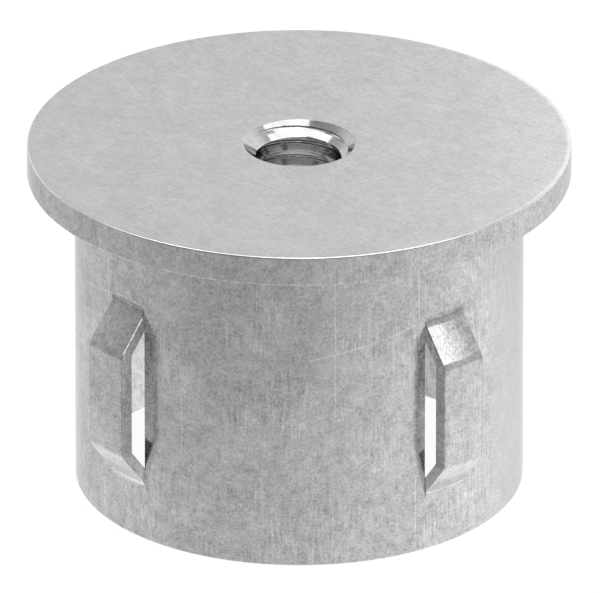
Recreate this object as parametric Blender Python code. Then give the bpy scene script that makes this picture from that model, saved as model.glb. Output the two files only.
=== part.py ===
# Threaded tube insert: a turned head with a threaded hole, seated on a sheet sleeve with four bridge ribs.
# The sleeve's end is let into a shallow groove under the head, and the tube's end bears outside of it.
# The sleeve's open end stands on z = 0, the head closes the top, and +Z is the axis of both.

import math

import bmesh
import bpy
from mathutils import Matrix, Vector

# Head, in metres
HEAD_DIAMETER = 0.0424
FLANGE_THICKNESS = 0.0024
SPIGOT_LENGTH = 0.0036
SPIGOT_LEAD = 0.0005
HOLE_DIAMETER = 0.006647  # minor diameter of an M8 thread
COUNTERSINK_DIAMETER = 0.0088
EXIT_CHAMFER_DIAMETER = 0.0082

# Sleeve, with the head's rim standing out past it by the same amount all round
FLANGE_OVERHANG = 0.0037
SLEEVE_DIAMETER = HEAD_DIAMETER - 2 * FLANGE_OVERHANG
SLEEVE_LENGTH = 0.0257
SLEEVE_WALL = 0.001

# Ribs: strips slit along both sides and pushed out of the sleeve's wall
RIB_COUNT = 4
RIB_WIDTH = 0.0039
RIB_RISE = 0.0023
RIB_CREST_LENGTH = 0.00865
RIB_CENTRE_HEIGHT = 0.012
RIB_SLOPE = math.radians(37.5)
CREST_INSIDE_BEND = 0.0001
FOOT_OUTSIDE_BEND = 0.0012
STRETCHED_WALL = 0.88  # share of the wall left on the slopes, where pushing out stretches the sheet

# Fits and broken edges
GROOVE_DEPTH = 0.0003
GROOVE_CLEARANCE = 0.0003
EDGE_BREAK = 0.00015

# Facets
WALL_STEP = math.radians(3.2)
RIB_COLUMNS = 6
BEND_STEPS = 4
HEAD_STEPS = 120
SMOOTH_BELOW = math.radians(20)
WELD_DISTANCE = 1e-7

# Values that follow from the sizes above
sleeve_outer = SLEEVE_DIAMETER / 2
sleeve_inner = sleeve_outer - SLEEVE_WALL


def clear_scene():
    for old in list(bpy.data.objects):
        bpy.data.objects.remove(old, do_unlink=True)


def steel(name, grey, roughness):
    material = bpy.data.materials.new(name)
    material.use_nodes = True
    shader = material.node_tree.nodes["Principled BSDF"]
    shader.inputs["Base Color"].default_value = (grey, grey, grey, 1)
    shader.inputs["Metallic"].default_value = 1
    shader.inputs["Roughness"].default_value = roughness
    return material


def finished_object(name, mesh_data, material):
    """Welds and orients a bmesh, shades its round faces smooth and puts it in the scene."""
    bmesh.ops.remove_doubles(mesh_data, verts=mesh_data.verts, dist=WELD_DISTANCE)
    bmesh.ops.recalc_face_normals(mesh_data, faces=mesh_data.faces)
    mesh = bpy.data.meshes.new(name)
    mesh_data.to_mesh(mesh)
    mesh_data.free()
    mesh.shade_smooth()
    mesh.set_sharp_from_angle(angle=SMOOTH_BELOW)
    mesh.materials.append(material)
    made = bpy.data.objects.new(name, mesh)
    bpy.context.scene.collection.objects.link(made)
    return made


def beside_rib_plane(turn, offset):
    """Places a section point at a constant distance from the radial plane through a rib's middle."""
    rotation = Matrix.Rotation(turn, 3, "Z")
    return lambda radius, height: rotation @ Vector((math.sqrt(radius**2 - offset**2), offset, height))


def at_angle(angle):
    """Places a section point on the radial plane at this angle."""
    return lambda radius, height: Vector((radius * math.cos(angle), radius * math.sin(angle), height))


def loft(mesh_data, columns, section):
    """Lays the same closed section on each column and joins neighbouring ones with quads."""
    rings = [[mesh_data.verts.new(place(*point)) for point in section] for place in columns]
    for near, far in zip(rings, rings[1:]):
        for k in range(len(section)):
            mesh_data.faces.new((near[k - 1], near[k], far[k], far[k - 1]))


def bend_points(centre, radius, turns):
    return [(centre[0] + radius * math.cos(turn), centre[1] + radius * math.sin(turn)) for turn in turns]


def rib_outline(base, crest, half_length, crest_bend, foot_bend):
    """One face of the pushed-out strip, from its lower foot to its upper foot, as (radius, height)."""
    tangent = math.tan(RIB_SLOPE / 2)
    foot_height = half_length + (crest - base) / math.tan(RIB_SLOPE)
    turns = [RIB_SLOPE * step / BEND_STEPS for step in range(BEND_STEPS + 1)]
    crest_centre = (crest - crest_bend, half_length - crest_bend * tangent)
    foot_centre = (base + foot_bend, foot_height + foot_bend * tangent)
    upper = bend_points(crest_centre, crest_bend, turns)
    upper += bend_points(foot_centre, -foot_bend, reversed(turns))
    lower = [(radius, -height) for radius, height in reversed(upper)]
    return [(radius, RIB_CENTRE_HEIGHT + height) for radius, height in lower + upper]


def crossings(outline, limit):
    """The points where an outline passes through a radius."""
    found = []
    for (radius, height), (next_radius, next_height) in zip(outline, outline[1:]):
        if (radius > limit) != (next_radius > limit):
            share = (limit - radius) / (next_radius - radius)
            found.append((limit, height + share * (next_height - height)))
    return found


def sleeve_section(outside, inside):
    """Closed section of the wall: the open end's rim, up the outside, over the top, down the inside."""
    rim = [
        (sleeve_inner, EDGE_BREAK),
        (sleeve_inner + EDGE_BREAK, 0),
        (sleeve_outer - EDGE_BREAK, 0),
        (sleeve_outer, EDGE_BREAK),
    ]
    top = [(sleeve_outer, SLEEVE_LENGTH), (sleeve_inner, SLEEVE_LENGTH)]
    return rim + outside + top + inside[::-1]


def make_sleeve(material):
    # Both faces of a rib, with the inner one parallel to the outer one on the slopes
    crest = sleeve_outer + RIB_RISE
    half_crest = RIB_CREST_LENGTH / 2
    slope_wall = STRETCHED_WALL * SLEEVE_WALL
    inner_half_crest = half_crest - (slope_wall - SLEEVE_WALL * math.cos(RIB_SLOPE)) / math.sin(RIB_SLOPE)
    crest_bend = CREST_INSIDE_BEND + SLEEVE_WALL
    foot_bend = FOOT_OUTSIDE_BEND + slope_wall
    outer_face = rib_outline(sleeve_outer, crest, half_crest, crest_bend, FOOT_OUTSIDE_BEND)
    inner_face = rib_outline(
        sleeve_inner, crest - SLEEVE_WALL, inner_half_crest, CREST_INSIDE_BEND, foot_bend
    )

    # The window shows where the inner face has passed the wall's outside
    window_ends = crossings(inner_face, sleeve_outer)
    inner_face = sorted(inner_face + window_ends, key=lambda point: point[1])
    clear_of_wall = [point for point in inner_face if point[0] >= sleeve_outer]
    within_wall = [point for point in inner_face if point[0] <= sleeve_outer]

    rib_section = sleeve_section(outer_face, inner_face)
    wall_section = sleeve_section(
        [outer_face[0], *window_ends, outer_face[-1]], [inner_face[0], inner_face[-1]]
    )
    strip_side = outer_face + clear_of_wall[::-1]
    window_side = within_wall

    # The same pattern for each rib: its strip, the plain wall up to the next one, and the slit faces
    mesh_data = bmesh.new()
    half_width = RIB_WIDTH / 2
    pitch = math.tau / RIB_COUNT
    edge_angle = math.asin(half_width / sleeve_outer)
    wall_columns = max(2, round((pitch - 2 * edge_angle) / WALL_STEP))
    for rib in range(RIB_COUNT):
        turn = rib * pitch
        offsets = [RIB_WIDTH * step / RIB_COLUMNS - half_width for step in range(RIB_COLUMNS + 1)]
        loft(mesh_data, [beside_rib_plane(turn, offset) for offset in offsets], rib_section)
        wall_angles = [
            turn + edge_angle + (pitch - 2 * edge_angle) * step / wall_columns
            for step in range(1, wall_columns)
        ]
        first = beside_rib_plane(turn, half_width)
        last = beside_rib_plane(turn + pitch, -half_width)
        loft(mesh_data, [first, *map(at_angle, wall_angles), last], wall_section)
        for offset in (-half_width, half_width):
            place = beside_rib_plane(turn, offset)
            for side in (strip_side, window_side):
                mesh_data.faces.new([mesh_data.verts.new(place(*point)) for point in side])
    return finished_object("ribbed_sleeve", mesh_data, material)


def make_head(material):
    # Half section, with its height counted from the face that the tube's end meets
    rim = HEAD_DIAMETER / 2
    spigot = sleeve_inner - GROOVE_CLEARANCE
    groove = sleeve_outer + GROOVE_CLEARANCE
    hole = HOLE_DIAMETER / 2
    countersink = COUNTERSINK_DIAMETER / 2
    exit_chamfer = EXIT_CHAMFER_DIAMETER / 2
    section = [
        (countersink, FLANGE_THICKNESS),
        (rim - EDGE_BREAK, FLANGE_THICKNESS),
        (rim, FLANGE_THICKNESS - EDGE_BREAK),
        (rim, EDGE_BREAK),
        (rim - EDGE_BREAK, 0),
        (groove, 0),
        (groove, GROOVE_DEPTH),
        (spigot, GROOVE_DEPTH),
        (spigot, SPIGOT_LEAD - SPIGOT_LENGTH),
        (spigot - SPIGOT_LEAD, -SPIGOT_LENGTH),
        (exit_chamfer, -SPIGOT_LENGTH),
        (hole, exit_chamfer - hole - SPIGOT_LENGTH),
        (hole, FLANGE_THICKNESS - countersink + hole),
    ]
    mesh_data = bmesh.new()
    points = [mesh_data.verts.new((radius, 0, height)) for radius, height in section]
    edges = [mesh_data.edges.new(ends) for ends in zip(points, points[1:] + points[:1])]
    bmesh.ops.spin(
        mesh_data,
        geom=points + edges,
        cent=(0, 0, 0),
        axis=(0, 0, 1),
        angle=math.tau,
        steps=HEAD_STEPS,
        use_merge=True,
    )
    return finished_object("threaded_head", mesh_data, material)


clear_scene()
sleeve = make_sleeve(steel("zinc_plated_sheet", 0.45, 0.35))
head = make_head(steel("zinc_plated_turned", 0.5, 0.32))
head.parent = sleeve
head.location = (0, 0, SLEEVE_LENGTH)
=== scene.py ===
import math

import bmesh
import bpy
import numpy as np
from mathutils import Matrix, Vector


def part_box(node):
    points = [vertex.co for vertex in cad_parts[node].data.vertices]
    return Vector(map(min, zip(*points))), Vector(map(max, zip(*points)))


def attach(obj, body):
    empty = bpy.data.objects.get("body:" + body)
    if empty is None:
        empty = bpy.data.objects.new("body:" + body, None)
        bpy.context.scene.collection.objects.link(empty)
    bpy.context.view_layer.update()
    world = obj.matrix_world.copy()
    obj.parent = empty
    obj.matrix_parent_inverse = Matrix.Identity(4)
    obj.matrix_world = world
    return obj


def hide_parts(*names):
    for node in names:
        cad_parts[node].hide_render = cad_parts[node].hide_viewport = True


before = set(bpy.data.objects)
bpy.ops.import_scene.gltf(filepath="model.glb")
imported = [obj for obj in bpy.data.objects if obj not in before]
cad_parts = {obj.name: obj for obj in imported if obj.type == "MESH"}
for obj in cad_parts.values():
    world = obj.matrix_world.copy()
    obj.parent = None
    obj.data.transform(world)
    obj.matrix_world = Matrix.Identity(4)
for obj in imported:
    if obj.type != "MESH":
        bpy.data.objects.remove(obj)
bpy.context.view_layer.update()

headLow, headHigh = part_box("threaded_head")
sleeveLow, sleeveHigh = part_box("ribbed_sleeve")


# Where the camera stands, and how wide its picture is at the insert
viewShape = {
    "azimuth": math.radians(49.7),
    "elevation": math.radians(25.15),
    "lens": 1600,
    "sensor": 36,
    "pictureWidth": 0.046823,
    "aimHeight": 0.014883,
    "aimRight": 0.0000624,
}
toCamera = Vector((math.sin(viewShape["azimuth"]), -math.cos(viewShape["azimuth"]), 0))
toRight = Vector((math.cos(viewShape["azimuth"]), math.sin(viewShape["azimuth"]), 0))


# Meshes from arrays

def joinRows(rings, closedRings):
    # quads between neighbouring rings of the same closed section, wound so that they face out
    columns, rows = rings.shape[:2]
    last = columns if closedRings else columns - 1
    near = np.arange(last)[:, None] * rows
    far = (np.arange(1, last + 1) % columns)[:, None] * rows
    here = np.arange(rows)[None, :]
    following = (here + 1) % rows
    return np.stack([near + here, near + following, far + following, far + here], axis=-1).reshape(-1, 4)


def addPiece(name, points, faces, flatFrom, material, node):
    # welds the points, shades the round faces smooth and the last ones flat, and stands in for the node
    mesh = bpy.data.meshes.new(name)
    mesh.from_pydata(points, [], faces)
    smooth = np.ones(len(faces), bool)
    smooth[flatFrom:] = False
    mesh.polygons.foreach_set("use_smooth", smooth)
    work = bmesh.new()
    work.from_mesh(mesh)
    bmesh.ops.remove_doubles(work, verts=work.verts, dist=1e-7)
    bmesh.ops.recalc_face_normals(work, faces=work.faces)
    work.to_mesh(mesh)
    work.free()
    mesh.set_sharp_from_angle(angle=math.radians(30))
    mesh.materials.append(material)
    piece = bpy.data.objects.new(name, mesh)
    bpy.context.scene.collection.objects.link(piece)
    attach(piece, "root")
    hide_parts(node)
    print("made", name, "with", len(mesh.polygons), "faces")
    return piece


def stretch(start, end, steps):
    # a straight run, with a close point by each end so that the shading stays flat between them
    share = np.concatenate([[0, 0.015], np.linspace(0, 1, steps + 1)[1:-1], [0.985, 1]])
    return np.outer(1 - share, start) + np.outer(share, end)


def aroundAxis(radii, heights, angles):
    # points of a turned surface: x = radius * cos(angle), y = radius * sin(angle), z = height
    return np.stack([radii * np.cos(angles), radii * np.sin(angles), heights], axis=-1)


def roundCorner(corner, radius, fromAngle, toAngle, steps):
    # a quarter-round or less that replaces a corner: centre plus radius times (cos, sin)
    turns = np.linspace(fromAngle, toAngle, steps + 1)
    half = (toAngle - fromAngle) / 2
    middle = fromAngle + half
    centre = np.array(corner) - radius / math.cos(half) * np.array([math.cos(middle), math.sin(middle)])
    return centre + radius * np.column_stack([np.cos(turns), np.sin(turns)])


# Node trees as expressions

scratchEnd = {"solid": 0.4, "fade": 0.6}


class Wire:
    # a socket that adds, subtracts and multiplies by making Math nodes

    def __init__(self, nodes, socket):
        self.nodes = nodes
        self.socket = socket

    def __add__(self, other):
        return self.nodes.math("ADD", self, other)

    def __sub__(self, other):
        return self.nodes.math("SUBTRACT", self, other)

    def __rsub__(self, other):
        return self.nodes.math("SUBTRACT", other, self)

    def __mul__(self, other):
        return self.nodes.math("MULTIPLY", self, other)

    __radd__ = __add__
    __rmul__ = __mul__


class NodeTree:
    # builds one node tree from typed calls

    def __init__(self, tree):
        self.tree = tree
        tree.nodes.clear()

    def add(self, kind, settings, sockets, output=0):
        made = self.tree.nodes.new(kind)
        for name, value in settings.items():
            setattr(made, name, value)
        for name, value in sockets.items():
            if isinstance(value, Wire):
                self.tree.links.new(value.socket, made.inputs[name])
            else:
                made.inputs[name].default_value = value
        return Wire(self, made.outputs[output]) if len(made.outputs) else made

    def math(self, operation, first, second):
        return self.add("ShaderNodeMath", {"operation": operation}, {0: first, 1: second})

    def between(self, value, low, high):
        # 0 below low, 1 above high, and a smooth rise between them
        return self.add(
            "ShaderNodeMapRange",
            {"interpolation_type": "SMOOTHSTEP"},
            {"Value": value, "From Min": low, "From Max": high},
        )

    def within(self, value, low, high, fade):
        # 1 between low and high, fading out over the given width on both sides
        return self.between(value, low - fade, low) * (1 - self.between(value, high, high + fade))

    def dot(self, vector, direction):
        settings = {"operation": "DOT_PRODUCT"}
        return self.add("ShaderNodeVectorMath", settings, {0: vector, 1: direction}, "Value")

    def part(self, vector, axis):
        return self.add("ShaderNodeSeparateXYZ", {}, {0: vector}, axis)

    def reach(self, vector):
        # distance from the axis: sqrt(x^2 + y^2)
        flat = self.add("ShaderNodeVectorMath", {"operation": "MULTIPLY"}, {0: vector, 1: (1, 1, 0)})
        return self.add("ShaderNodeVectorMath", {"operation": "LENGTH"}, {0: flat}, "Value")

    def turned(self, vector, angle, scale):
        return self.add(
            "ShaderNodeMapping",
            {"vector_type": "POINT"},
            {"Vector": vector, "Rotation": (0, 0, angle), "Scale": scale},
        )

    def noise(self, vector, scale, detail, roughness=0.55):
        return self.add(
            "ShaderNodeTexNoise",
            {"noise_dimensions": "3D"},
            {"Vector": vector, "Scale": scale, "Detail": detail, "Roughness": roughness},
        )

    def scratches(self, across, up, lines):
        # each line runs from one point to another on the unrolled face; its mask is full within
        # half its width of the line and fades out at both ends
        total = None
        for (x0, y0, x1, y1, width) in lines:
            length = math.hypot(x1 - x0, y1 - y0)
            dx, dy = (x1 - x0) / length, (y1 - y0) / length
            along = across * dx + up * dy - (x0 * dx + y0 * dy)
            beside = across * -dy + up * dx - (y0 * dx - x0 * dy)
            solid = scratchEnd["solid"]
            mask = self.within(along, solid, length - solid, scratchEnd["fade"])
            mask = mask * self.within(beside, 0, 0, width)
            total = mask if total is None else total + mask
        return total

    def grey(self, tone):
        channels = {"Red": tone, "Green": tone, "Blue": tone}
        return self.add("ShaderNodeCombineColor", {"mode": "RGB"}, channels)


def newMaterial(name):
    material = bpy.data.materials.new(name)
    material.use_nodes = True
    return material, NodeTree(material.node_tree)


def millimetres(nodes):
    place = nodes.add("ShaderNodeTexCoord", {}, {}, "Object")
    return nodes.add("ShaderNodeVectorMath", {"operation": "SCALE"}, {0: place, "Scale": 1000})


# what both pieces share: how drawing lines and scuffs are stretched, and in which places they are found
zincCoat = {
    "drawnStretch": (5.5, 5.5, 0.45),
    "drawnPlaces": 0.2,
    "drawnFrom": (0.46, 0.62),
    "scuffStretch": (1.3, 1.3, 6),
    "scuffPlaces": 0.3,
    "scuffFrom": (0.5, 0.64),
    "lightSpots": (0.7, 0.82),
    "darkSpots": (0.17, 0.3),
    "patchRelief": 0.5,
    "edgeTint": 0.78,
}


def zincMottle(nodes, place, look):
    # zinc coat: fine grain over patches over broad clouds, a few light and dark specks, and in some
    # places short lines from drawing, up the sheet, or scuffs across it
    speckle = nodes.noise(place, look["speckleScale"], 1) - 0.5
    grain = nodes.noise(place, look["grainScale"], 2, 0.6) - 0.5
    patches = nodes.noise(place, look["patchScale"], 3, 0.6) - 0.5
    clouds = nodes.noise(place, look["cloudScale"], 2) - 0.5
    drawn = nodes.noise(nodes.turned(place, 0, zincCoat["drawnStretch"]), 1, 2, 0.6) - 0.5
    whereDrawn = nodes.between(nodes.noise(place, zincCoat["drawnPlaces"], 1), *zincCoat["drawnFrom"])
    scuffs = nodes.noise(nodes.turned(place, 0, zincCoat["scuffStretch"]), 1, 2, 0.6) - 0.5
    whereScuffed = nodes.between(nodes.noise(place, zincCoat["scuffPlaces"], 1), *zincCoat["scuffFrom"])
    spots = nodes.noise(place, look["spotScale"], 0)
    lightSpots = nodes.between(spots, *zincCoat["lightSpots"])
    darkSpots = 1 - nodes.between(spots, *zincCoat["darkSpots"])
    tone = look["speckle"] * speckle + look["grain"] * grain
    tone = tone + look["patches"] * patches + look["clouds"] * clouds
    tone = tone + look["drawn"] * drawn * whereDrawn + look["scuffs"] * scuffs * whereScuffed
    tone = tone + look["spots"] * (lightSpots - darkSpots)
    return tone, grain + zincCoat["patchRelief"] * patches


def finishMetal(nodes, tone, roughness, height, bumpDistance):
    bump = nodes.add("ShaderNodeBump", {}, {"Strength": 1, "Distance": bumpDistance, "Height": height})
    shader = nodes.add(
        "ShaderNodeBsdfPrincipled",
        {},
        {
            "Base Color": nodes.grey(tone),
            "Metallic": 1,
            "Roughness": roughness,
            "Specular Tint": (zincCoat["edgeTint"],) * 3 + (1,),
            "Normal": bump,
        },
    )
    nodes.add("ShaderNodeOutputMaterial", {}, {"Surface": shader})


# Head: the turned disc with its threaded hole

head = {
    "flangeThickness": 0.0024,
    "edgeRound": 0.00013,
    "spigotRadius": 0.0162,
    "spigotLead": 0.0005,
    "minorRadius": 0.0033235,
    "majorRadius": 0.00407,
    "pitch": 0.00125,
    "rootRound": 0.2,
    "countersinkRadius": 0.00436,
    "countersinkRound": 0.00003,
    "exitRadius": 0.0041,
    "crestDepth": 0.00236,
    "columns": 192,
    "rowsPerPitch": 48,
    "turnsBelow": 7,
    "turnsAbove": 4,
    # finish: shares of the tone, and pattern scales per millimetre
    "tone": 0.6,
    "speckleScale": 9,
    "speckle": 0.7,
    "grainScale": 4.2,
    "grain": 0.9,
    "patchScale": 1.1,
    "patches": 0.7,
    "cloudScale": 0.22,
    "clouds": 0.4,
    "drawn": 0.7,
    "scuffs": 0.2,
    "spotScale": 1.7,
    "spots": 0.1,
    "faceGrainScale": 3.4,
    "facePatchScale": 0.9,
    "faceCloudScale": 0.25,
    "faceSpeckle": 0.3,
    "faceGrain": 0.5,
    "facePatches": 0.2,
    "faceClouds": 0.24,
    "streaks": 0.3,
    "streakAngle": math.radians(78),
    "streakPlaces": 0.28,
    "streakFrom": (0.42, 0.62),
    "crossStreaks": 0.28,
    "crossAngle": math.radians(-8),
    "crossPlaces": 0.35,
    "crossUpTo": (0.4, 0.55),
    "streakStretch": (0.5, 5, 1),
    "faceTone": 0.05,
    "faceSmooth": 0.6,
    # painted light: this share brightens the whole hole
    "hole": 0.18,
    "holeCalm": 0.5,
    "holeShine": 0.35,
    # painted shade on the thread flanks deep in the bore
    "bore": 0.3,
    "boreCalm": 0.4,
    "boreRoughness": 0.03,
    # painted highlights on the rim's top edge, the thread crests and the thread roots
    "edge": 0.55,
    "paintedCrestHighlight": 0.28,
    "root": 0.4,
    "scratch": 0.2,
    "roughness": 0.15,
    "grainRoughness": 0.14,
    "bump": 0.000005,
    # where the marks begin and end, in millimetres: depths below the face, reach from the axis, and
    # bands counted from the radius of the rim, the crests or the roots
    "faceDepth": (0.02, 0.06),
    "holeReach": (4.4, 4.5),
    "coneDepth": (0.9, 1),
    "boreDepth": (1.4, 1.5),
    "edgeDepth": (0.09, 0.12),
    "edgeBand": (-0.13, -0.1),
    "crestBand": (0.02, 0.08),
    "rootBand": (-0.14, -0.08),
}
# lines on the head's face: from and to, counted to the camera's right and away from it, and half width,
# all in millimetres
faceScratches = [
    (2.4, -5.3, 6.6, -2.0, 0.09),
    (4.1, -7.5, 10.4, -4.6, 0.08),
    (-10.7, 8.5, -7.7, 5.2, 0.08),
    (-17.6, 1.3, -16.2, 0.2, 0.1),
    (-14.1, 12.9, -12.2, 7.9, 0.08),
    (6.2, 9.1, 12.6, 5.8, 0.05),
    (-6.3, -13.2, 1.8, -10.9, 0.05),
]


def threadRadius(turns, heights):
    # a trapezoid wave, turns counted from a crest: minor + depth * clip((|turn| - 1/8) / (5/16), 0, 1),
    # with its root corners eased, and opened wherever the cone at either end is wider
    depth = head["majorRadius"] - head["minorRadius"]
    rise = (np.abs((turns + 0.5) % 1 - 0.5) - 0.125) / 0.3125
    ease = head["rootRound"]
    wave = np.clip(rise, 0, 1) - np.clip(ease - np.abs(rise - 1), 0, None) ** 2 / (4 * ease)
    countersink = head["countersinkRadius"] - (headHigh.z - heights)
    exitCone = head["exitRadius"] - (heights - headLow.z)
    return np.maximum(head["minorRadius"] + depth * wave, np.maximum(countersink, exitCone))


def makeBore(mouth):
    # rows follow the right-hand helix, height = crest + pitch * (turn + angle / full turn), and are
    # cut level at both ends, where the rows beyond fall together and are left out
    angles = np.linspace(0, math.tau, head["columns"] + 1)
    far = math.atan2(-toCamera.y, -toCamera.x)
    crest = headHigh.z - head["crestDepth"] - head["pitch"] * far / math.tau
    rows = head["rowsPerPitch"]
    turns = np.arange(-head["turnsBelow"] * rows, head["turnsAbove"] * rows + 1) / rows
    level = crest + head["pitch"] * (turns[None, :] + angles[:, None] / math.tau)
    heights = np.clip(level, headLow.z, mouth)
    radii = threadRadius((heights - crest) / head["pitch"] - angles[:, None] / math.tau, heights)
    rings = aroundAxis(radii, heights, angles[:, None])
    count = len(turns)
    start = (np.arange(len(angles) - 1)[:, None] * count + np.arange(count - 1)[None, :]).reshape(-1, 1)
    faces = start + np.array([0, 1, count + 1, count])
    spread = np.ptp(heights.reshape(-1)[faces], axis=1)
    return rings.reshape(-1, 3), faces[spread > 1e-9]


def makeHead(material):
    # the outside is a section carried round the axis, over the face, down the rim and the spigot
    top = headHigh.z
    seat = top - head["flangeThickness"]
    rim = headHigh.x
    edge = head["edgeRound"]
    spigot = head["spigotRadius"]
    lead = head["spigotLead"]
    angles = np.linspace(0, math.tau, head["columns"], endpoint=False)
    mouth = (head["countersinkRadius"], top)
    lip = roundCorner(mouth, head["countersinkRound"], math.radians(135), math.pi / 2, 5)
    section = np.concatenate([
        lip[:-1],
        stretch(lip[-1], (rim - edge, top), 10)[:-1],
        roundCorner((rim, top), edge, math.pi / 2, 0, 5),
        stretch((rim, top - edge), (rim, seat + edge), 4)[1:-1],
        roundCorner((rim, seat), edge, 0, -math.pi / 2, 5),
        stretch((rim - edge, seat), (spigot, seat), 4)[1:],
        stretch((spigot, seat), (spigot, headLow.z + lead), 3)[1:],
        stretch((spigot - lead, headLow.z), (head["exitRadius"], headLow.z), 8),
    ])
    radii = np.broadcast_to(section[:, 0], (len(angles), len(section)))
    heights = np.broadcast_to(section[:, 1], radii.shape)
    rings = aroundAxis(radii, heights, angles[:, None])
    outside = joinRows(rings, True)
    outside = outside[outside[:, 0] % len(section) < len(section) - 1]
    borePoints, boreFaces = makeBore(lip[0, 1])
    points = np.concatenate([rings.reshape(-1, 3), borePoints])
    faces = np.concatenate([outside, boreFaces + rings.size // 3])
    return addPiece(
        "head_shell",
        points,
        faces.tolist(),
        len(faces),
        material,
        "threaded_head",
    )


def headMaterial():
    # the face carries a fine grain with crossing streaks, the rim and the bore the zinc's mottle
    material, nodes = newMaterial("turnedZincPlate")
    place = millimetres(nodes)
    side = nodes.dot(place, toRight)
    back = nodes.dot(place, -toCamera)
    mottle, relief = zincMottle(nodes, place, head)
    faceGrain = nodes.noise(place, head["faceGrainScale"], 3, 0.65) - 0.5
    facePatches = nodes.noise(place, head["facePatchScale"], 2) - 0.5
    faceClouds = nodes.noise(place, head["faceCloudScale"], 3, 0.6) - 0.5
    stretched = head["streakStretch"]
    streaks = nodes.noise(nodes.turned(place, head["streakAngle"], stretched), 1, 2, 0.6) - 0.5
    whereStreaked = nodes.between(nodes.noise(place, head["streakPlaces"], 1), *head["streakFrom"])
    crossStreaks = nodes.noise(nodes.turned(place, head["crossAngle"], stretched), 1, 2, 0.6) - 0.5
    whereCrossed = 1 - nodes.between(nodes.noise(place, head["crossPlaces"], 1), *head["crossUpTo"])
    face = (
        head["faceSpeckle"] * (nodes.noise(place, head["speckleScale"], 1) - 0.5)
        + head["faceGrain"] * faceGrain
        + head["facePatches"] * facePatches
        + head["faceClouds"] * faceClouds
        + head["streaks"] * streaks * whereStreaked
        + head["crossStreaks"] * crossStreaks * whereCrossed
        + head["scratch"] * nodes.scratches(side, back, faceScratches)
    )
    # where on the head: depth below the face and distance from the axis, in millimetres
    depth = headHigh.z * 1000 - nodes.part(place, "Z")
    reach = nodes.reach(place)
    onFace = 1 - nodes.between(depth, *head["faceDepth"])
    inHole = (1 - nodes.between(reach, *head["holeReach"])) * (1 - onFace)
    belowCone = inHole * nodes.between(depth, *head["coneDepth"])
    deep = inHole * nodes.between(depth, *head["boreDepth"])
    onEdge = nodes.between(reach - headHigh.x * 1000, *head["edgeBand"])
    onEdge = onEdge * (1 - nodes.between(depth, *head["edgeDepth"]))
    onCrest = 1 - nodes.between(reach - head["minorRadius"] * 1000, *head["crestBand"])
    onRoot = belowCone * nodes.between(reach - head["majorRadius"] * 1000, *head["rootBand"])
    calm = 1 - (head["holeCalm"] * inHole + head["boreCalm"] * deep)
    plate = (face + head["faceTone"]) * onFace + mottle * (1 - onFace) * calm
    # painted highlights: the thread crests, a thin line at the thread roots and the rim's top edge are
    # lightened
    paintedHighlights = head["paintedCrestHighlight"] * onCrest + head["root"] * onRoot + head["edge"] * onEdge
    # painted shade: the thread flanks deep in the bore darkened, the crests left out
    paintedBoreShade = head["bore"] * deep * (1 - onCrest)
    # the hole's share is painted light that brightens the whole hole
    tone = head["tone"] * (1 + plate + paintedHighlights + head["hole"] * inHole - paintedBoreShade)
    height = relief * calm * (1 - head["faceSmooth"] * onFace)
    roughness = head["roughness"] + head["grainRoughness"] * relief
    roughness = roughness * (1 - head["holeShine"] * inHole) + head["boreRoughness"] * deep
    finishMetal(nodes, tone, roughness, height, head["bump"])
    return material


print("head")
makeHead(headMaterial())


# Sleeve: the drawn sheet with its four pushed-out ribs

sleeve = {
    "wall": 0.001,
    "ribCount": 4,
    "ribWidth": 0.0039,
    "ribRise": 0.0023,
    "crestLength": 0.00865,
    "centreHeight": 0.012,
    "slope": math.radians(37.5),
    "footBend": 0.0012,
    "slopeWall": 0.00088,
    "insideBend": 0.0001,
    "ribEdge": 0.00004,
    "slopeEdge": 0.00006,
    "rimRound": 0.0001,
    "seatGap": 0.00001,
    "wallColumns": 72,
    "ribColumns": 10,
    "bendSteps": 8,
    # finish: shares of the tone, and pattern scales per millimetre
    "tone": 0.6,
    "speckleScale": 9,
    "speckle": 0.75,
    "grainScale": 4.2,
    "grain": 0.85,
    "patchScale": 1.1,
    "patches": 0.7,
    "cloudScale": 0.22,
    "clouds": 0.45,
    "drawn": 0.8,
    "scuffs": 0.5,
    "spotScale": 1.7,
    "spots": 0.12,
    # painted light and shade: the strips' lower slopes and feet lightened, the wall beside the slits and
    # the fold over each strip darkened
    "paintedUndersideLight": 0.34,
    "paintedFootLight": 0.24,
    "paintedSlitShade": 0.13,
    "shear": 0.08,
    "paintedFoldShade": 0.2,
    "crestLine": 0.45,
    "calm": 0.65,
    "scratch": 0.45,
    "roughness": 0.17,
    "grainRoughness": 0.24,
    "bump": 0.000009,
    # where the marks begin and end, and for three values how they fade, in millimetres: out from the
    # wall, up from the middle or the end of a strip, and past its sides
    "calmSide": (13.5, 16.5),
    "undersideOut": (0.08, 0.18),
    "undersideUp": (-0.35, 0.15),
    "footOut": (0.3, 0.9),
    "slitOut": (0.02, 0.05),
    "slitUp": (-5, 5, 1.5),
    "slitPast": (-0.01, 0.5, 0.5),
    "proudOut": (0.1, 0.2),
    "shearPast": (-0.02, -0.01),
    "foldUp": (0.15, 0.5, 0.12),
    "foldPast": (-0.02, 0.02),
    "crestLineUp": (-4.1, 4.1, 0.2),
    "crestLinePast": (-0.07, -0.03, 0.01),
}
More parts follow.
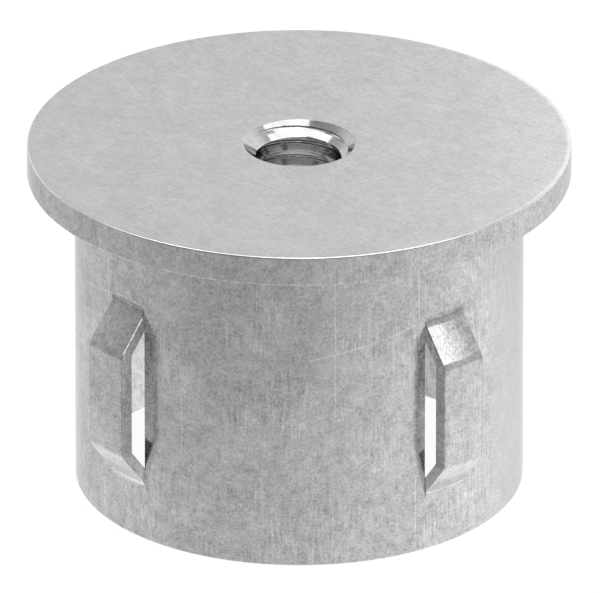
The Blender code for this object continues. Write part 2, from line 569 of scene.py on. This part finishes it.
# lines on the unrolled sleeve: from and to, as arc length to the right of the camera's side and height,
# and half width, all in millimetres
sleeveScratches = [
    (0.5, 17.5, 9.7, 19.4, 0.05),
    (8.1, 19.1, 9.7, 19.6, 0.06),
    (2.8, 25.6, 2.8, 12.4, 0.04),
    (-1.0, 14.8, -1.4, 10.9, 0.05),
    (-5.7, 20.5, -5.7, 18.4, 0.05),
    (9.5, 6.6, 9.5, 1.0, 0.05),
    (-18.3, 3.4, -18.3, 0.8, 0.07),
    (9.8, 24.6, 9.8, 19.4, 0.07),
    (10.4, 23.9, 10.4, 20.9, 0.04),
    (13.8, 12.4, 13.8, 5.6, 0.04),
    (-17.6, 25.3, -17.6, 19.0, 0.06),
    (-9.6, 13.6, -9.6, 8.2, 0.04),
    (-21.5, 18.9, -15.5, 20.1, 0.05),
    (-15.5, 20.1, -13.9, 20.0, 0.05),
]


def ribOutline(base, crest, halfLength, crestBend, footBend):
    # crest arc and foot arc tangent to a straight slope, mirrored below the rib's middle
    slope = sleeve["slope"]
    tangent = math.tan(slope / 2)
    footHeight = halfLength + (crest - base) / math.tan(slope)
    turns = np.linspace(0, slope, sleeve["bendSteps"] + 1)[:, None]
    swing = np.hstack([np.cos(turns), np.sin(turns)])
    over = (crest - crestBend, halfLength - crestBend * tangent) + crestBend * swing
    if crestBend == 0:
        over = over[:1]
    under = (base + footBend, footHeight + footBend * tangent) - footBend * swing[::-1]
    upper = np.concatenate([over, under])
    lower = upper[::-1] * (1, -1)
    return np.concatenate([lower, upper]) + (0, sleeve["centreHeight"])


def crossingHeights(outline, limit):
    # heights where the outline passes through a radius, by straight interpolation
    gap = outline[:, 0] - limit
    at = np.flatnonzero(gap[:-1] * gap[1:] < 0)
    share = gap[at] / (gap[at] - gap[at + 1])
    return outline[at, 1] + share * (outline[at + 1, 1] - outline[at, 1])


def besideRib(sections, offsets, turn):
    # points at a set distance from the rib's middle plane: x = sqrt(r^2 - offset^2), y = offset
    along = np.sqrt(sections[..., 0] ** 2 - offsets ** 2)
    across = np.broadcast_to(offsets, along.shape)
    return np.stack([
        along * math.cos(turn) - across * math.sin(turn),
        along * math.sin(turn) + across * math.cos(turn),
        sections[..., 1],
    ], axis=-1)


def makeSleeve(material):
    # the wall's closed section on each column: beside a rib's middle plane on its strip, and at
    # x = r cos(angle), y = r sin(angle) between the ribs, with the flat slit faces added last
    outer = sleeveHigh.x - sleeve["ribRise"]
    inner = outer - sleeve["wall"]
    crest = outer + sleeve["ribRise"]
    slope = sleeve["slope"]
    halfCrest = sleeve["crestLength"] / 2
    slopeWall = sleeve["slopeWall"]
    innerHalf = halfCrest - (slopeWall - sleeve["wall"] * math.cos(slope)) / math.sin(slope)
    crestBend = sleeve["wall"] + sleeve["insideBend"]
    footBend = sleeve["footBend"]
    outerFace = ribOutline(outer, crest, halfCrest, crestBend, footBend)
    innerFace = ribOutline(inner, crest - sleeve["wall"], innerHalf, 0, footBend + slopeWall)
    windowEnds = np.array([[outer, height] for height in crossingHeights(innerFace, outer)])
    innerFace = np.concatenate([innerFace, windowEnds])
    innerFace = innerFace[np.argsort(innerFace[:, 1], kind="stable")]

    # plain stretches that every column shares
    rimRound = sleeve["rimRound"]
    top = headHigh.z - head["flangeThickness"] - sleeve["seatGap"]
    low = sleeveLow.z
    rim = np.concatenate([
        roundCorner((inner, low), rimRound, -math.pi, -math.pi / 2, 4),
        roundCorner((outer, low), rimRound, -math.pi / 2, 0, 4),
    ])
    outsideLow = stretch((outer, low + rimRound), outerFace[0], 2)[1:-1]
    outsideHigh = stretch(outerFace[-1], (outer, top), 2)[1:]
    insideHigh = stretch((inner, top), innerFace[-1], 2)[:-1]
    insideLow = stretch(innerFace[0], (inner, low + rimRound), 2)[1:-1]

    def section(outside, inside):
        downInside = [insideHigh, inside[::-1], insideLow]
        return np.concatenate([rim, outsideLow, outside, outsideHigh, *downInside])

    # each strip's sheared edges are broken by a small bevel, wider on the upper slope:
    # offset = half width - bevel, drop = bevel along the outside's normal
    along = np.gradient(outerFace, axis=0)
    facing = np.column_stack([along[:, 1], -along[:, 0]])
    facing /= np.linalg.norm(facing, axis=1)[:, None]
    upward = np.clip(facing[:, 1] / math.sin(slope), 0, 1)
    bevel = sleeve["ribEdge"] + (sleeve["slopeEdge"] - sleeve["ribEdge"]) * upward
    bevel = np.minimum(bevel, 0.6 * np.maximum(outerFace[:, 0] - outer, 0))
    edgeFace = outerFace - facing * bevel[:, None]
    plain = section(outerFace, innerFace)
    rowBevel = np.zeros(len(plain))
    rowBevel[len(rim) + len(outsideLow):][:len(bevel)] = bevel
    halfWidth = sleeve["ribWidth"] / 2
    share = np.linspace(-1, 1, sleeve["ribColumns"] + 1)[:, None]
    side = np.full((1, len(plain)), halfWidth)
    offsets = np.concatenate([-side, share * (halfWidth - rowBevel), side])
    edgeSection = section(edgeFace, innerFace)
    ribSections = np.stack([edgeSection] + [plain] * len(share) + [edgeSection])

    wallSection = section(np.vstack([outerFace[:1], windowEnds, outerFace[-1:]]), innerFace[[0, -1]])
    clearOfWall = innerFace[innerFace[:, 0] >= outer]
    withinWall = innerFace[innerFace[:, 0] <= outer]
    sides = [np.concatenate([edgeFace, clearOfWall[::-1]]), withinWall]

    points, faces, sideFaces = [], [], []
    count = 0

    def take(rings):
        nonlocal count
        points.append(rings.reshape(-1, 3))
        faces.extend((joinRows(rings, False) + count).tolist())
        count += rings.shape[0] * rings.shape[1]

    pitch = math.tau / sleeve["ribCount"]
    edgeAngle = math.asin(halfWidth / outer)
    wallAngles = np.linspace(edgeAngle, pitch - edgeAngle, sleeve["wallColumns"] + 1)[1:-1]
    for rib in range(sleeve["ribCount"]):
        turn = rib * pitch
        take(besideRib(ribSections, offsets, turn))
        first = besideRib(wallSection[None], halfWidth, turn)
        last = besideRib(wallSection[None], -halfWidth, turn + pitch)
        angles = (turn + wallAngles)[:, None]
        radii = wallSection[None, :, 0]
        heights = np.broadcast_to(wallSection[None, :, 1], (len(angles), len(wallSection)))
        middle = aroundAxis(radii, heights, angles)
        take(np.concatenate([first, middle, last]))
        for offset in (-halfWidth, halfWidth):
            for side in sides:
                points.append(besideRib(side, offset, turn))
                sideFaces.append(list(range(count, count + len(side))))
                count += len(side)
    return addPiece(
        "sleeve_shell",
        np.concatenate(points),
        faces + sideFaces,
        len(faces),
        material,
        "ribbed_sleeve",
    )


def sleeveMaterial():
    material, nodes = newMaterial("mottledZincSheet")
    place = millimetres(nodes)
    mottle, relief = zincMottle(nodes, place, sleeve)
    side = nodes.dot(place, toRight)
    front = nodes.dot(place, toCamera)
    height = nodes.part(place, "Z")
    outer = (sleeveHigh.x - sleeve["ribRise"]) * 1000
    arc = nodes.math("ARCTAN2", side, front) * outer
    scratches = nodes.scratches(arc, height, sleeveScratches)
    # where on the sleeve, in millimetres
    out = nodes.reach(place) - outer
    up = height - sleeve["centreHeight"] * 1000
    across = nodes.math("ABSOLUTE", nodes.part(place, "X"), 0)
    fromRib = nodes.math("MINIMUM", across, nodes.math("ABSOLUTE", nodes.part(place, "Y"), 0))
    past = fromRib - sleeve["ribWidth"] / 2 * 1000
    crestEnd = sleeve["crestLength"] / 2 * 1000
    ribEnd = crestEnd + sleeve["ribRise"] / math.tan(sleeve["slope"]) * 1000
    # the drawn sheet is smoother on one side, painted light brightens the strips' lower slopes and feet,
    # their sheared sides are brighter too, and painted shade darkens the wall beside the slits
    calm = 1 - sleeve["calm"] * nodes.between(side, *sleeve["calmSide"])
    # painted light on the strips' lower slopes, below the crest
    paintedUnderside = nodes.between(out, *sleeve["undersideOut"])
    paintedUnderside = paintedUnderside * (1 - nodes.between(up + crestEnd, *sleeve["undersideUp"]))
    # painted highlight along each strip's foot bend
    foot = paintedUnderside * (1 - nodes.between(out, *sleeve["footOut"]))
    proud = nodes.between(out, *sleeve["proudOut"])
    sheared = proud * nodes.between(past, *sleeve["shearPast"])
    # painted shade on the wall beside each slit
    slitShadeMask = nodes.within(past, *sleeve["slitPast"]) * nodes.within(up, *sleeve["slitUp"])
    slitShadeMask = slitShadeMask * (1 - nodes.between(out, *sleeve["slitOut"]))
    # painted shade in the fold over each strip, and a thin dark line along the crest's two edges
    paintedFoldShade = nodes.within(up - ribEnd, *sleeve["foldUp"])
    paintedFoldShade = paintedFoldShade * (1 - nodes.between(past, *sleeve["foldPast"]))
    crestLine = proud * nodes.within(past, *sleeve["crestLinePast"])
    crestLine = crestLine * nodes.within(up, *sleeve["crestLineUp"])
    tone = sleeve["tone"] * (
        1
        + mottle * calm
        + sleeve["scratch"] * scratches
        + sleeve["paintedUndersideLight"] * paintedUnderside
        + sleeve["paintedFootLight"] * foot
        + sleeve["shear"] * sheared
        - sleeve["paintedSlitShade"] * slitShadeMask
        - sleeve["paintedFoldShade"] * paintedFoldShade
        - sleeve["crestLine"] * crestLine
    )
    relief = relief * calm
    roughness = sleeve["roughness"] + sleeve["grainRoughness"] * relief
    finishMetal(nodes, tone, roughness, relief, sleeve["bump"])
    return material


print("sleeve")
makeSleeve(sleeveMaterial())


# Floor, world, lamps and camera

def direction(azimuth, elevation):
    # unit vector from angles in degrees, counted to the right of the camera and up from the floor
    side = math.radians(azimuth)
    up = math.radians(elevation)
    flat = toCamera * math.cos(side) + toRight * math.sin(side)
    return flat * math.cos(up) + Vector((0, 0, math.sin(up)))


floorLook = {
    "reach": 3,
    "drop": 0.00001,
    "plain": 0.95,
    "shadowed": 0.1,
    "glow": 0.16,
    "glowNear": 20,
    "glowFar": 75,
}


def makeFloor():
    mesh = bpy.data.meshes.new("floor")
    size = floorLook["reach"]
    corners = [(-size, -size), (size, -size), (size, size), (-size, size)]
    mesh.from_pydata([(x, y, -floorLook["drop"]) for (x, y) in corners], [], [(0, 1, 2, 3)])
    floor = bpy.data.objects.new("floor", mesh)
    bpy.context.scene.collection.objects.link(floor)
    material, nodes = newMaterial("paleFloor")
    lit = nodes.add("ShaderNodeBsdfDiffuse", {}, {"Color": (floorLook["shadowed"],) * 3 + (1,)})
    isCamera = nodes.add("ShaderNodeLightPath", {}, {}, "Is Camera Ray")
    plain = nodes.add("ShaderNodeEmission", {}, {"Strength": floorLook["plain"] * isCamera})
    seen = nodes.add("ShaderNodeAddShader", {}, {0: lit, 1: plain})
    # the metal mirrors the studio through the floor, with a pool of light round the insert's foot
    place = nodes.add("ShaderNodeTexCoord", {}, {}, "Object")
    reach = nodes.add("ShaderNodeVectorMath", {"operation": "LENGTH"}, {0: place}, "Value") * 1000
    pool = floorLook["glow"] * (1 - nodes.between(reach, floorLook["glowNear"], floorLook["glowFar"]))
    through = nodes.add("ShaderNodeBsdfTransparent", {}, {})
    glow = nodes.add("ShaderNodeEmission", {}, {"Strength": pool})
    mirrored = nodes.add("ShaderNodeAddShader", {}, {0: through, 1: glow})
    isGlossy = nodes.add("ShaderNodeLightPath", {}, {}, "Is Glossy Ray")
    fromBelow = nodes.add("ShaderNodeNewGeometry", {}, {}, "Backfacing")
    clear = nodes.math("MAXIMUM", isGlossy, fromBelow)
    surface = nodes.add("ShaderNodeMixShader", {}, {0: clear, 1: seen, 2: mirrored})
    nodes.add("ShaderNodeOutputMaterial", {}, {"Surface": surface})
    mesh.materials.append(material)


worldLook = {
    "floorLevel": 0.75,
    "floorSwing": 0.287,
    "floorBright": 140,
    "horizon": (-0.4, -0.12),
    "wallLevel": 0.556,
    "wallSwing": 0.38,
    "wallBright": 160,
    "overhead": 0.4,
    "overheadSwing": 0.2,
    "overheadBright": 150,
    "ceiling": (0.45, 0.75),
    "footLight": 0.22,
    "footTowards": (-124, -46),
    "footSpread": (0.95, 0.985),
}


def makeWorld():
    # what the metal mirrors: below and above the horizon a level that swings with the direction
    # round the insert, and a dimmer ceiling
    world = bpy.data.worlds.new("studio")
    bpy.context.scene.world = world
    world.use_nodes = True
    nodes = NodeTree(world.node_tree)
    sight = nodes.add("ShaderNodeTexCoord", {}, {}, "Generated")
    height = nodes.dot(sight, (0, 0, 1))
    below = worldLook["floorSwing"] * nodes.dot(sight, direction(worldLook["floorBright"], 0))
    around = worldLook["wallSwing"] * nodes.dot(sight, direction(worldLook["wallBright"], 0))
    rising = nodes.between(height, *worldLook["horizon"])
    level = (worldLook["floorLevel"] + below) * (1 - rising) + (worldLook["wallLevel"] + around) * rising
    above = worldLook["overheadSwing"] * nodes.dot(sight, direction(worldLook["overheadBright"], 0))
    footLight = nodes.dot(sight, direction(*worldLook["footTowards"]))
    level = level + worldLook["footLight"] * nodes.between(footLight, *worldLook["footSpread"])
    overhead = nodes.between(height, *worldLook["ceiling"])
    level = level * (1 - overhead) + (worldLook["overhead"] + above) * overhead
    isCamera = nodes.add("ShaderNodeLightPath", {}, {}, "Is Camera Ray")
    level = level * (1 - isCamera) + isCamera
    background = nodes.add("ShaderNodeBackground", {}, {"Color": nodes.grey(level), "Strength": 1})
    nodes.add("ShaderNodeOutputWorld", {}, {"Surface": background})


# each lamp's shape, the way to it, the way its length runs, length and width in metres, and radiance
softboxes = {
    "topSoftbox": ("ELLIPSE", Vector((0, 0, 1)) - toCamera * 0.08, toRight, 1.1, 1.1, 0.95),
    "sideSoftbox": ("RECTANGLE", direction(43.8, 58.8), direction(-60, 11), 1.31, 0.6, 0.9),
    "ribSoftbox": ("RECTANGLE", direction(78, 34), direction(-12, 0), 0.24, 0.14, 0.6),
    "leftSoftbox": ("RECTANGLE", direction(-113, 59), Vector((0, 0, 1)), 0.46, 0.28, 1.5),
    "edgeSoftbox": ("RECTANGLE", direction(4, 26), toRight, 0.2, 0.2, 1.6),
    "backSoftbox": ("RECTANGLE", direction(171, 25), Vector((0, 0, 1)), 0.24, 0.22, 0.6),
}


def addSoftbox(name, shape, towards, longAxis, length, width, radiance):
    # a lamp one metre out; its power is radiance times pi times its area
    data = bpy.data.lights.new(name, "AREA")
    data.shape = shape
    data.size = length
    data.size_y = width
    data.energy = radiance * math.pi * length * width * (math.pi / 4 if shape == "ELLIPSE" else 1)
    lamp = bpy.data.objects.new(name, data)
    bpy.context.scene.collection.objects.link(lamp)
    back = towards.normalized()
    along = (longAxis - back * longAxis.dot(back)).normalized()
    across = back.cross(along)
    lamp.matrix_world = Matrix.Translation(back) @ Matrix((along, across, back)).transposed().to_4x4()
    lamp.visible_camera = False


def makeCamera():
    data = bpy.data.cameras.new("camera")
    data.lens = viewShape["lens"]
    data.sensor_width = viewShape["sensor"]
    distance = viewShape["pictureWidth"] * viewShape["lens"] / viewShape["sensor"]
    data.clip_start = distance / 10
    data.clip_end = distance * 10
    camera = bpy.data.objects.new("camera", data)
    bpy.context.scene.collection.objects.link(camera)
    outward = direction(0, math.degrees(viewShape["elevation"]))
    aim = Vector((0, 0, viewShape["aimHeight"])) + toRight * viewShape["aimRight"]
    camera.location = aim + outward * distance
    camera.rotation_euler = outward.to_track_quat("Z", "Y").to_euler()
    bpy.context.scene.camera = camera


print("studio")
makeFloor()
makeWorld()
for name, settings in softboxes.items():
    addSoftbox(name, *settings)
makeCamera()
bpy.context.scene.view_settings.view_transform = "Standard"
